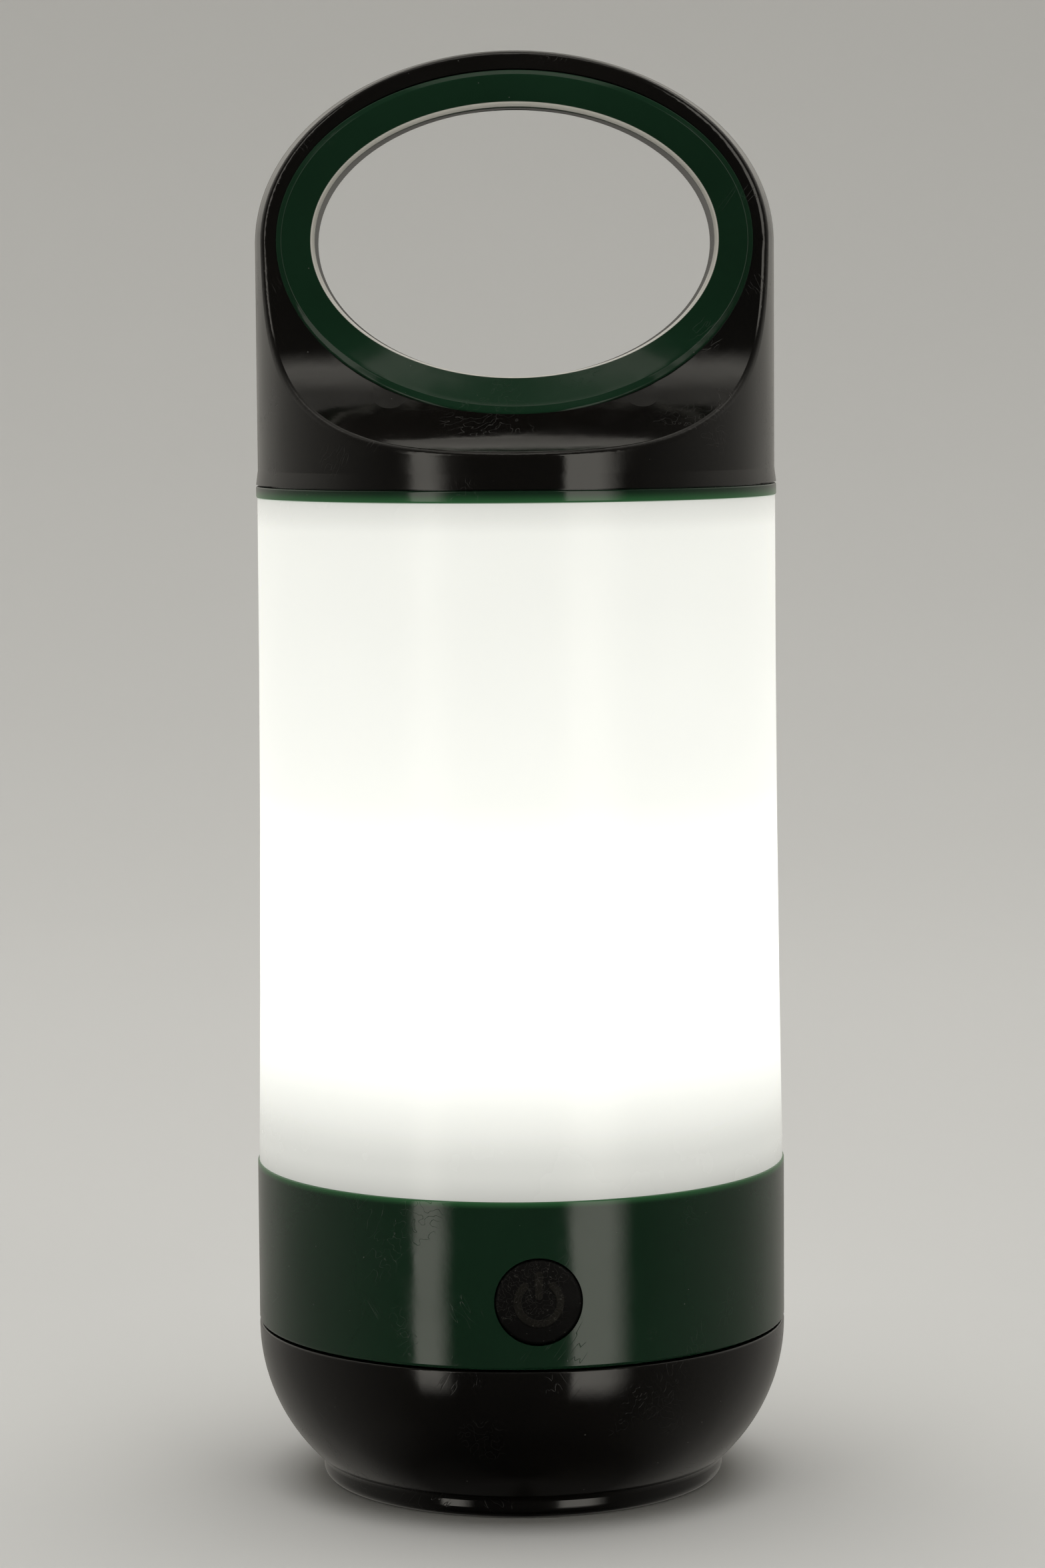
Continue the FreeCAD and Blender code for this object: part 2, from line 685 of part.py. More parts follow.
def scoop_slab(offset):
    """Everything between the front and rear scooped faces, as wide as the lantern."""
    right = scoop_curve(offset)
    top, foot = right.StartPoint, right.EndPoint
    base_z, side = 190.0, 75.0
    half = [right.toShape()]
    spots = [foot, Vector(0, side, foot.z), Vector(0, side, base_z)]
    half += [Part.LineSegment(a, b).toShape() for a, b in zip(spots, spots[1:])]
    other = [edge.mirror(ORIGIN, Y_AXIS) for edge in half]
    joins = [Part.LineSegment(Vector(0, side, base_z), Vector(0, -side, base_z)).toShape(),
             Part.LineSegment(Vector(0, -top.y, top.z), top).toShape()]
    face = Part.Face(Part.Wire(Part.__sortEdges__(half + other + joins)))
    slab = face.extrude(Vector(2 * side, 0, 0))
    slab.translate(Vector(-side, 0, 0))
    return slab


def capsule(inset, low, flare=0.0):
    """Cylinder under a half-ellipsoid dome, all moved in by inset."""
    r, rise = cap_r - inset, dome_rise - inset
    centre, crown = Vector(0, 0, dome_z), Vector(0, 0, dome_z + rise)
    side = Part.Ellipse(Vector(r, 0, dome_z), crown, centre)
    edges = polyline([(0, low), (r + flare, low), (r, low + 3), (r, dome_z)])
    edges.append(Part.ArcOfEllipse(side, 0, math.pi / 2).toBSpline().toShape())
    edges += polyline([(0, dome_z + rise), (0, low)])
    return revolve(edges)


def oval(a, b, deep=80.0):
    """Solid elliptical bar along Y through the hand opening."""
    ellipse = Part.Ellipse(ORIGIN, a, b).toShape()
    bar = Part.Face(Part.Wire(ellipse)).extrude(Vector(0, 0, 2 * deep))
    bar.rotate(ORIGIN, X_AXIS, 90)
    bar.translate(Vector(0, deep, opening_z))
    return bar


def handle_shell():
    low = rim_top + 0.3
    skin = capsule(0, low, 0.4).common(scoop_slab(0))
    rims = [e for e in skin.Edges if e.BoundBox.XLength > 60 and e.BoundBox.ZMax > 230
            and e.BoundBox.YLength > 5]
    skin = skin.makeFillet(edge_round, rims)
    inside = capsule(wall, low - 5).common(scoop_slab(-wall))
    shell = skin.cut(inside)
    bosses = [cylinder(handle_boss_r, low, handle_boss_top, at).common(skin)
              for at in handle_screw_spots()]
    shell = union([shell] + bosses)
    hole = oval(opening_a + sleeve_wall + 0.2, opening_b + sleeve_wall + 0.2)
    recess = oval(trim_a + 0.1, trim_b + 0.1).cut(scoop_slab(-trim_sink - FIT))
    pegs = [peg(peg_r + 0.15, angle) for angle in peg_angles]
    pilots = [cylinder(large_pilot, low - 1, low + pilot_depth, at) for at in handle_screw_spots()]
    return shell.cut(hole).cut(recess).cut(group(pegs + pilots))


def peg(radius, angle, deep=80.0):
    turn = math.radians(angle)
    a, b = (trim_a + opening_a + 3) / 2, (trim_b + opening_b + 3) / 2
    centre = Vector(a * math.cos(turn), -deep, opening_z + b * math.sin(turn))
    return Part.makeCylinder(radius, 2 * deep, centre, Y_AXIS)


def grip_sleeve():
    bore = oval(opening_a - 0.3, opening_b - 0.3)
    bar = oval(opening_a + sleeve_wall, opening_b + sleeve_wall).cut(bore)
    return bar.common(scoop_slab(-trim_sink - FIT))


def trim_ring():
    ring = oval(trim_a, trim_b).cut(oval(opening_a - bead, opening_b - bead))
    layer = scoop_slab(trim_proud).cut(scoop_slab(-trim_sink))
    front = block((-90, 90), (-90, 0), (150, 350))
    ring = ring.common(layer).common(front)
    proud = [e for e in ring.Edges if e.BoundBox.XLength > 60 and e.BoundBox.YMin < -36]
    ring = ring.makeFillet(trim_round, proud)
    pin_layer = scoop_slab(0).cut(scoop_slab(-5.5))
    pins = [peg(peg_r, angle).common(pin_layer).common(front) for angle in peg_angles]
    return union([ring] + pins)


def handle_screws():
    return group([screw(1.45, 2.6, 1.8, 10.5, at, plate_low - FIT, up=True)
                  for at in handle_screw_spots()])


# --- write the parts ----------------------------------------------------------------
def main():
    os.makedirs("parts", exist_ok=True)
    front_trim = trim_ring()
    save("handle_shell", handle_shell())
    save("grip_sleeve", grip_sleeve())
    save("trim_ring_front", front_trim)
    save("trim_ring_rear", turned(front_trim, 180))
    save("top_plate", top_plate())
    save("handle_screws", handle_screws())
    save("top_reflector", top_reflector())
    save("reflector_screw", reflector_screw())
    save("diffuser", diffuser())
    save("light_deck", light_deck())
    save("deck_screws", deck_screws())
    save("led_board", led_board())
    save("led_board_screws", led_board_screws())
    save("led_emitters", led_emitters())
    save("body_band", body_band())
    save("body_core", body_core())
    save("base_seal", base_seal())
    save("battery_cradle", battery_cradle())
    save("return_strip", return_strip())
    save("contact_board", contact_board())
    save("contact_board_screws", contact_board_screws())
    save("top_terminal", top_terminal())
    save("top_link", top_link())
    save("top_springs", top_springs())
    save("switch_board", switch_board())
    save("switch_board_screws", switch_board_screws())
    save("switch_body", switch_body())
    save("button_seal", button_seal())
    save("battery_lead_red", battery_lead(8))
    save("battery_lead_black", battery_lead(-8))
    save("led_lead_red", led_lead(4))
    save("led_lead_black", led_lead(-4))
    save("power_button", power_button())
    save("switch_plunger", switch_plunger())
    save("contact_carrier", contact_carrier())
    save("base_link", base_link())
    save("base_terminal", base_terminal())
    for number, (spot, down) in enumerate(zip(cell_spots(), nub_down), 1):
        save("battery_cell_%d" % number, battery_cell(spot, down))
    save("base_cap", base_cap())
    save("swivel_screw", swivel_screw())


main()
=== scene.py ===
import json
import math
import bpy
from mathutils import Matrix, Vector
from mathutils.bvhtree import BVHTree


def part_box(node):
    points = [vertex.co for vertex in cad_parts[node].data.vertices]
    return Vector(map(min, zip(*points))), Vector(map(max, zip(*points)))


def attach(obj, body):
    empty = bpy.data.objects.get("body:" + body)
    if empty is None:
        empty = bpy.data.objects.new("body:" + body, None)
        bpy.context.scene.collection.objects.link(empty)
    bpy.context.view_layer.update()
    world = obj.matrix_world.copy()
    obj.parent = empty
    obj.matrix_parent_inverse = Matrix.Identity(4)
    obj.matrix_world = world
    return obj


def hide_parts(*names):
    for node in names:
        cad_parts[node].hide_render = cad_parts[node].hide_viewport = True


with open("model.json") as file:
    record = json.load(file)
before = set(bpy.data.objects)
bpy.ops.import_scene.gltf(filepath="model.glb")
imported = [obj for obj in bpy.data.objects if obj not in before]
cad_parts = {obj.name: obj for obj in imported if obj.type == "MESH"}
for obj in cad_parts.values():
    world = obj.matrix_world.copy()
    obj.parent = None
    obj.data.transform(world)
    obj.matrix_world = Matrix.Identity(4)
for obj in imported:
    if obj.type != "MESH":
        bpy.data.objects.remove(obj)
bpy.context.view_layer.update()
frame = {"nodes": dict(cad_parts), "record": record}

MM = 0.001

# --- camera ------------------------------------------------------------------
SENSOR = 36.0
LENS = 101.1                      # mm, on the long side of the sensor
CAMERA_PLACE = (-0.00258, -0.9397, 0.2372)
CAMERA_DOWN = 5.3336              # degrees below the horizon
CAMERA_PAN = -0.2124              # degrees, positive to the left
CAMERA_ROLL = -0.4126             # degrees, positive anticlockwise

# --- studio ------------------------------------------------------------------
FLOOR_COLOR = (0.62, 0.62, 0.61)
SWEEP_FLAT = 1.0                  # radius of the level floor
SWEEP_CURVE = 2.4                 # radius of its curve up to the wall
SWEEP_WALL = 2.8                  # height of the wall
OVERHEAD_PLACE = (0.0, 0.1, 2.3)
OVERHEAD_SIZE = (2.4, 2.4)
OVERHEAD_RADIANCE = 1.9
WARM = (1.0, 0.96, 0.87)

# The soft surroundings that the gloss pieces mirror, as lists of (degrees, radiance). Azimuth
# is measured from the front and is positive to the right.
SIDES = [(0, 0.05), (30, 0.05), (55, 0.08), (72, 0.15), (90, 0.23), (110, 0.30), (135, 0.41),
         (150, 0.40), (168, 0.34), (175, 0.16), (180, 0.10)]             # by azimuth, to either side
BELOW = [(-90, 0.12), (-62, 0.12), (-45, 0.55), (-15, 0.75), (-5, 1.0),
         (90, 1.0)]               # the share of SIDES that is left, by elevation
BACK_SKY = [(-90, 0.0), (3, 0.0), (12, 0.25), (24, 0.35), (34, 0.3), (47, 0.3), (52, 0.9), (57, 1.2),
            (62, 0.8), (67, 0.1), (80, 0.05), (84, 0.3), (88, 0.7), (90, 0.9)]        # by elevation
FRONT_SKY = [(-90, 0.0), (71, 0.0), (75, 0.3), (79, 0.9), (83, 1.3), (88, 1.0), (90, 0.9)]
FRONT_TO_BACK = (70.0, 112.0)     # azimuths between which one sky gives way to the other

# Two tall strips of light in front: (left edge, right edge, softness of each) in azimuth,
# (foot, head, softness of each) in elevation, and radiance.
STRIPS = [((-47.0, -33.5, 1.2, 5.0), (-22.0, 50.0, 7.0, 7.0), 1.95),
          ((21.5, 43.0, 1.5, 7.0), (-25.0, 50.0, 7.0, 7.0), 2.0)]

# --- colours and glow ----------------------------------------------------------
GREEN = ((0.0066, 0.0265, 0.0125), (0.0080, 0.0315, 0.0150))
BLACK = ((0.0030, 0.0027, 0.0024), (0.0052, 0.0045, 0.0038))
LAMP_TINT = (1.0, 1.01, 0.95)
# The tube's light by height, from its foot (0) to its head (1).
LAMP_GLOW = [(0.0, 0.27), (0.019, 0.36), (0.033, 0.41), (0.054, 0.44), (0.075, 0.51), (0.103, 0.62),
             (0.132, 0.71), (0.20, 0.95), (0.33, 1.15), (0.45, 1.0), (0.57, 0.76), (0.64, 0.73),
             (0.71, 0.71), (0.78, 0.69), (0.85, 0.67), (0.92, 0.66), (0.957, 0.64), (0.978, 0.53),
             (0.993, 0.47), (1.0, 0.42)]
PAINTED_GLOW_DOWN = 1.6 * MM              # how far the painted glow reaches into the green below the tube
PAINTED_GLOW_UP = 2.2 * MM                # and above it
PAINTED_GLOW_OVERLAP = 0.1 * MM           # how far inside the tube's foot the painted glow reaches full strength
PAINTED_GLOW_PAST = 3.0 * MM              # how far inside the tube's ends the painted glow is cut off
LED_LENS = 0.22 * MM              # height of the yellow lens on an LED's case
LENS_EDGE = 0.02 * MM             # height over which the case's colour turns into the lens's

# --- finer shapes ----------------------------------------------------------------
# Each trim's lip: how far it stands inside the sleeve's outside, across and up, and its lift.
LIP_FRONT = (2.5 * MM, 2.8 * MM, 0.0)
LIP_REAR = (1.75 * MM, 2.07 * MM, 0.33 * MM)
LIP_WIDE = 1.0 * MM
LIP_DEEP = 1.8 * MM
LIP_HIGHLIGHT_SPAN = (0.1, 0.9)             # the part of the lip's width painted with a pale highlight
LIP_STEPS = 12
TRIM_CROWN = 0.03 * MM            # rise of the face between its bevel and its lip
TRIM_FLAT = 1.4 * MM              # from the lip's rounding to the crown
TRIM_DEEP = 1.9 * MM              # from the face down to the trim's foot
TRIM_AROUND = 320
BEVEL = 1.1 * MM
FACE_STEPS = 24                   # heights at which the CAD's face is measured
# The outer edge, as (distance in from the edge, rise), from its foot over a small step and the
# bevel to the face.
OUTER_EDGE = [(0.0, -TRIM_DEEP), (0.0, -0.80 * MM), (0.05 * MM, -0.62 * MM), (0.18 * MM, -0.5 * MM),
              (0.34 * MM, -0.42 * MM), (0.84 * MM, -0.16 * MM), (0.98 * MM, -0.1 * MM),
              (1.1 * MM, -0.025 * MM), (1.22 * MM, 0.0), (1.9 * MM, TRIM_CROWN)]

BUTTON_R = 8.8 * MM
BUTTON_ROUND = 0.7 * MM
BUTTON_ROUND_STEPS = 8
BUTTON_DOME = 0.5 * MM
BUTTON_AROUND, BUTTON_RINGS = 360, 112
FLANGE_TOP, FLANGE_FOOT = 52.8 * MM, 51.6 * MM      # from the lantern's axis
STEM_R = 2.5 * MM
SYMBOL_R = 4.4 * MM
SYMBOL_HALF = 0.8 * MM            # half the width of its stroke
SYMBOL_RISE = 0.2 * MM
SYMBOL_EDGE = 0.14 * MM           # width of its sloping edge
SYMBOL_GAP = 40.0                 # degrees to each side of the top
SYMBOL_BAR = (0.55 * MM, 5.6 * MM)      # foot of its bar, and the middle of its round top

CELL_NUB_WIDEST = 12 * MM         # a wider top than this is the cell's negative end
CELL_TOP_LAYER = 0.05 * MM        # depth of the layer in which that width is measured


# --- shader nodes ------------------------------------------------------------
class Graph:
    """Shader nodes added one by one to a node tree."""

    def __init__(self, tree, shader, place):
        self.nodes = tree.nodes
        self.links = tree.links
        self.shader = self.nodes[shader]
        self.place = self.nodes.new("ShaderNodeTexCoord").outputs[place]

    def set(self, socket, value):
        """Puts a number, a colour or another node's output on one of the shader's sockets."""
        target = self.shader.inputs[socket.replace("_", " ")]
        if isinstance(value, bpy.types.NodeSocket):
            self.links.new(value, target)
        elif isinstance(value, tuple):
            target.default_value = (*value, 1.0) if len(value) == 3 else value
        else:
            target.default_value = value

    def node(self, kind, output, settings=None, **inputs):
        """Adds a node and gives one of its outputs. An input is named, or i0, i1 by its number."""
        made = self.nodes.new("ShaderNode" + kind)
        for key, value in (settings or {}).items():
            setattr(made, key, value)
        for key, value in inputs.items():
            socket = made.inputs[int(key[1:]) if key[1:].isdigit() else key.replace("_", " ")]
            if isinstance(value, bpy.types.NodeSocket):
                self.links.new(value, socket)
            else:
                socket.default_value = value
        return made.outputs[output]

    def math(self, operation, a, b=0.0, clamp=False):
        settings = {"operation": operation, "use_clamp": clamp}
        return self.node("Math", 0, settings, i0=a, i1=b)

    def plus(self, a, b, clamp=False):
        return self.math("ADD", a, b, clamp)

    def times(self, a, b):
        return self.math("MULTIPLY", a, b)

    def larger(self, a, b):
        return self.math("MAXIMUM", a, b)

    def mix(self, amount, a, b):
        """Colour a where amount is 0, colour b where it is 1."""
        made = self.nodes.new("ShaderNodeMix")
        made.data_type = "RGBA"
        for socket, value in ((made.inputs[0], amount), (made.inputs[6], a), (made.inputs[7], b)):
            if isinstance(value, bpy.types.NodeSocket):
                self.links.new(value, socket)
            else:
                socket.default_value = (*value, 1.0) if isinstance(value, tuple) else value
        return made.outputs[2]

    def stretched(self, scale, turn=(0.0, 0.0, 0.0)):
        """The object's coordinates, turned and then stretched."""
        angles = tuple(math.radians(a) for a in turn)
        turned = self.node("Mapping", 0, Vector=self.place, Rotation=angles)
        return self.node("Mapping", 0, Vector=turned, Scale=scale)

    def noise(self, size, detail=3.0, rough=0.5, place=None):
        """Noise whose features are about size metres across."""
        return self.node("TexNoise", 0, Vector=place or self.place, Scale=1 / size,
                         Detail=detail, Roughness=rough)

    def window(self, value, low, high, out_low=0.0, out_high=1.0):
        """Value spread smoothly from low..high to out_low..out_high, and held beyond."""
        settings = {"interpolation_type": "SMOOTHSTEP"}
        return self.node("MapRange", 0, settings, i0=value, i1=low, i2=high, i3=out_low, i4=out_high)

    def drift(self, size, detail, low=0.0, high=1.0):
        """Number that wanders between low and high, over patches about size metres across."""
        return self.window(self.noise(size, detail), 0.3, 0.7, low, high)

    def between(self, value, low, high, low_soft, high_soft):
        """1 from low to high and 0 outside, with soft edges."""
        rise = self.window(value, low - low_soft, low + low_soft)
        fall = self.window(value, high - high_soft, high + high_soft, 1.0, 0.0)
        return self.times(rise, fall)

    def linear(self, value, low, high):
        """0 at low and 1 at high, in a straight line between."""
        settings = {"interpolation_type": "LINEAR"}
        return self.node("MapRange", 0, settings, i0=value, i1=low, i2=high, i3=0.0, i4=1.0)

    def ramp(self, value, stops):
        """Colour along value, from stops of (position, colour)."""
        made = self.nodes.new("ShaderNodeValToRGB")
        line = made.color_ramp.elements
        while len(line) < len(stops):
            line.new(1.0)
        for element, (position, color) in zip(line, stops):
            element.position = position
            element.color = (*color, 1.0)
        self.links.new(value, made.inputs[0])
        return made.outputs[0]

    def curve(self, value, points):
        """Number along value, from points of (value, number)."""
        low, high = points[0][0], points[-1][0]
        peak = max(number for _, number in points)
        stops = [((at - low) / (high - low), (number / peak,) * 3) for at, number in points]
        return self.times(self.ramp(self.linear(value, low, high), stops), peak)

    def axis(self, name):
        return self.node("SeparateXYZ", name, Vector=self.place)


class Finish(Graph):
    """A procedural material around one Principled shader."""

    def __init__(self, name, **sockets):
        self.material = bpy.data.materials.new(name)
        self.material.use_nodes = True
        super().__init__(self.material.node_tree, "Principled BSDF", "Object")
        self.normal = None
        for socket, value in sockets.items():
            self.set(socket, value)

    def bump(self, height, depth):
        """Adds relief of this depth in metres on top of what is there."""
        inputs = {"Height": height, "Distance": depth, "Strength": 1.0}
        if self.normal is not None:
            inputs["Normal"] = self.normal
        self.normal = self.node("Bump", 0, **inputs)
        self.set("Normal", self.normal)


# --- wear and dirt -------------------------------------------------------------
def hairlines(f, turns, length=0.05, width=0.0016, share=0.62, thin=0.012):
    """Mask of fine scratches: one set for each turn, in patches."""
    total = None
    for turn in turns:
        place = f.stretched((1 / width, 1 / length, 1 / width), turn)
        field = f.noise(1.0, 1.0, 0.3, place)
        away = f.math("ABSOLUTE", f.math("SUBTRACT", field, 0.5))
        line = f.window(away, 0.0, thin, 1.0, 0.0)
        patch = f.window(f.noise(0.018, 1.0, 0.5, f.stretched((1, 1, 1), turn)), share, share + 0.06)
        one = f.times(line, patch)
        total = one if total is None else f.larger(total, one)
    return total


def specks(f, spacing, radius, share):
    """Mask of small dust specks: share of the cells hold one."""
    inputs = {"Vector": f.place, "Scale": 1 / spacing, "Randomness": 1.0}
    near = f.node("TexVoronoi", "Distance", **inputs)
    pick = f.node("SeparateColor", 0, Color=f.node("TexVoronoi", "Color", **inputs))
    dot = f.window(near, 0.5 * radius / spacing, radius / spacing, 1.0, 0.0)
    return f.times(dot, f.math("GREATER_THAN", pick, 1 - share))


def gloss_plastic(name, color, lighter, rough=0.10, sheen=0.5):
    """Moulded gloss plastic: flow marks, smudges, hairline scratches and a little dust."""
    f = Finish(name, IOR=1.5, Specular_IOR_Level=sheen)
    smudge = f.window(f.noise(0.02, 4.0, 0.6), 0.35, 0.75, rough - 0.03, rough + 0.07)
    cloud = f.window(f.noise(0.006, 3.0, 0.6), 0.5, 0.8, 0.0, 0.04)
    scratch = hairlines(f, ((12, 25, 8), (40, -60, 75), (75, 15, -40)))
    dust = f.larger(specks(f, 0.0035, 0.00017, 0.5), specks(f, 0.011, 0.0003, 0.4))
    tint = f.mix(f.drift(0.035, 2.0), color, lighter)
    f.set("Base Color", f.mix(f.times(dust, 0.5), tint, (0.16, 0.16, 0.15)))
    level = f.plus(f.plus(smudge, cloud), f.times(scratch, 0.22))
    f.set("Roughness", f.plus(level, f.times(dust, 0.4), True))
    f.bump(f.noise(0.022, 1.0, 0.4), 0.00022)
    f.bump(f.noise(0.0014, 2.0, 0.5), 0.000006)
    f.bump(scratch, -0.000012)
    return f


def green_gloss(low, high):
    """Green plastic, painted with a faint green glow where it meets the tube's two ends, in place of lamp
    light through the plastic.
    """
    f = gloss_plastic("green_gloss", *GREEN)
    z = f.axis("Z")
    foot = f.times(f.window(z, low - PAINTED_GLOW_DOWN, low + PAINTED_GLOW_OVERLAP),
                   f.math("LESS_THAN", z, low + PAINTED_GLOW_PAST))
    head = f.times(f.window(z, high, high + PAINTED_GLOW_UP, 1.0, 0.0),
                   f.math("GREATER_THAN", z, high - PAINTED_GLOW_PAST))
    # painted glow: green emission on the plastic near the tube's two ends
    f.set("Emission Color", (0.12, 0.5, 0.16))
    f.set("Emission Strength", f.times(f.larger(foot, head), 0.12))
    return f.material


def trim_green():
    """The same green on the trims, with a pale highlight painted along their inner edge."""
    f = gloss_plastic("trim_green", *GREEN, sheen=0.22)
    plain = f.shader.inputs["Base Color"].links[0].from_socket
    # painted highlight: a pale band on the lip stands in for the reflection along its rounded inner edge
    painted_lip_highlight = f.node("Attribute", "Fac", {"attribute_name": "painted_lip_highlight"})
    pale = f.mix(f.noise(0.004, 3.0), (0.66, 0.645, 0.59), (0.78, 0.76, 0.71))
    f.set("Base Color", f.mix(painted_lip_highlight, plain, pale))
    return f.material


def button_grain():
    """Spark-eroded matte grain with dust and scratches. The symbol is lighter, browner and a little
    glossier, in patches.
    """
    f = Finish("button_grain", Specular_IOR_Level=0.14)
    scratch = hairlines(f, ((0, 18, 0), (0, 70, 0), (0, -35, 0)), 0.02, 0.001, 0.56, 0.014)
    dust = f.larger(specks(f, 0.0011, 0.00014, 0.4), specks(f, 0.003, 0.0002, 0.4))
    marks = f.larger(dust, f.times(scratch, 0.8))
    symbol = f.node("Attribute", "Fac", {"attribute_name": "symbol"})
    symbol_patches = f.times(symbol, f.window(f.noise(0.0016, 4.0, 0.7), 0.3, 0.6, 0.45, 1.0))
    plain = f.mix(symbol_patches, (0.0026, 0.0025, 0.0024), (0.0115, 0.0105, 0.0080))
    f.set("Base Color", f.mix(f.times(marks, 0.5), plain, (0.13, 0.125, 0.11)))
    worn = f.drift(0.004, 3.0, 0.46, 0.62)
    f.set("Roughness", f.math("SUBTRACT", worn, f.times(symbol_patches, 0.12), True))
    f.bump(f.noise(0.00028, 2.0, 0.6), 0.00006)
    return f.material


def opal_lit(low, high):
    """Opal tube lit from inside: brightest above the lamp, softer towards both ends."""
    f = Finish("opal_lit", Base_Color=(0.46, 0.468, 0.46), Specular_IOR_Level=0.3)
    up = f.linear(f.axis("Z"), low, high)
    stops = [(at, tuple(level * tint for tint in LAMP_TINT)) for at, level in LAMP_GLOW]
    glow = f.ramp(up, stops)
    cloud = f.drift(0.03, 2.0, 0.0, 0.05)
    f.set("Emission Color", f.mix(cloud, glow, (0.5, 0.51, 0.48)))
    f.set("Emission Strength", 1.0)
    dust = f.larger(specks(f, 0.004, 0.00016, 0.4), specks(f, 0.013, 0.00028, 0.3))
    f.set("Roughness", f.plus(f.drift(0.012, 3.0, 0.2, 0.3), dust, True))
    f.bump(f.noise(0.03, 1.0), 0.0002)
    return f.material


def matte_plastic(name, color, lighter, rough, grain_depth=0.00002):
    """Moulded technical plastic with a fine eroded grain and scuffs."""
    f = Finish(name)
    scratch = hairlines(f, ((20, 40, 0), (65, -30, 50)), 0.03, 0.0018, 0.58)
    tint = f.mix(f.drift(0.01, 3.0), color, lighter)
    scuffed = tuple(min(1.0, c * 1.4 + 0.02) for c in lighter)
    f.set("Base Color", f.mix(f.times(scratch, 0.4), tint, scuffed))
    f.set("Roughness", f.drift(0.005, 3.0, rough - 0.06, rough + 0.08))
    f.bump(f.noise(0.0005, 2.0, 0.6), grain_depth)
    return f.material


def steel():
    """Plated steel: rolled grain and a faint warm stain."""
    f = Finish("steel", Metallic=1.0)
    rolled = f.noise(1.0, 3.0, 0.6, f.stretched((4200.0, 260.0, 4200.0)))
    stain = f.window(f.noise(0.004, 4.0, 0.65), 0.55, 0.75)
    f.set("Base Color", f.mix(f.times(stain, 0.5), (0.62, 0.61, 0.58), (0.42, 0.36, 0.28)))
    f.set("Roughness", f.window(rolled, 0.3, 0.7, 0.2, 0.38))
    f.bump(rolled, 0.000004)
    return f.material


def circuit_board(name, mask, copper):
    """Solder mask over tracks: the tracks stand up a little and look lighter."""
    f = Finish(name)
    inputs = {"Vector": f.place, "Scale": 240.0, "Randomness": 0.85}
    settings = {"distance": "CHEBYCHEV"}
    near = f.node("TexVoronoi", "Distance", settings, **inputs)
    bands = f.math("FRACT", f.times(near, 3.0))
    tracks = f.window(f.math("ABSOLUTE", f.math("SUBTRACT", bands, 0.5)), 0.14, 0.2, 1.0, 0.0)
    f.set("Base Color", f.mix(tracks, mask, copper))
    f.set("Roughness", f.drift(0.003, 2.0, 0.24, 0.36))
    f.bump(tracks, 0.00003)
    return f.material


def led_resin(lens_foot):
    """White resin case under a lit yellow phosphor lens."""
    f = Finish("led_resin")
    lens = f.window(f.axis("Z"), lens_foot, lens_foot + LENS_EDGE)
    speckle = f.mix(f.noise(0.0002, 2.0), (0.9, 0.72, 0.18), (0.95, 0.85, 0.42))
    f.set("Base Color", f.mix(lens, (0.82, 0.82, 0.78), speckle))
    f.set("Emission Color", (1.0, 0.93, 0.8))
    f.set("Emission Strength", f.times(lens, 1.5))
    f.set("Roughness", f.drift(0.0008, 2.0, 0.25, 0.45))
    return f.material


def rubber(name, color, rough=0.6):
    """Moulded rubber or insulation: soft mottling, bloom and a fine skin."""
    f = Finish(name)
    bloom = f.window(f.noise(0.003, 4.0, 0.65), 0.45, 0.75, 0.0, 0.5)
    pale = tuple(0.75 * c + 0.02 for c in color)
    f.set("Base Color", f.mix(bloom, color, pale))
    f.set("Roughness", f.drift(0.0015, 3.0, rough - 0.1, rough + 0.12))
    f.bump(f.noise(0.0004, 2.0, 0.6), 0.00001)
    return f.material


def cell_wrap(name, positive, negative):
    """Printed sleeve of a D cell: dark body, copper-coloured band at the positive end, bare ends."""
    f = Finish(name)
    up = f.linear(f.axis("Z"), negative, positive)
    ink = [(0.0, (0.55, 0.54, 0.51)), (0.02, (0.014, 0.015, 0.018)), (0.6, (0.016, 0.017, 0.02)),
           (0.605, (0.7, 0.7, 0.68)), (0.615, (0.42, 0.19, 0.07)), (0.93, (0.45, 0.21, 0.08)),
           (0.955, (0.58, 0.57, 0.55))]
    shine = [(0.0, 1.0), (0.02, 0.0), (0.6, 0.0), (0.615, 0.8), (0.93, 0.8), (0.955, 1.0)]
    handled = f.window(f.noise(0.004, 4.0), 0.4, 0.8, 0.0, 0.12)
    scratch = hairlines(f, ((0, 10, 0), (0, 80, 0)), 0.02, 0.0012, 0.55)
    f.set("Base Color", f.mix(handled, f.ramp(up, ink), (0.2, 0.2, 0.2)))
    f.set("Metallic", f.ramp(up, [(at, (level,) * 3) for at, level in shine]))
    f.set("Roughness", f.plus(f.drift(0.006, 3.0, 0.2, 0.32), f.times(scratch, 0.25), True))
    f.bump(f.noise(0.008, 2.0), 0.00004)
    return f.material


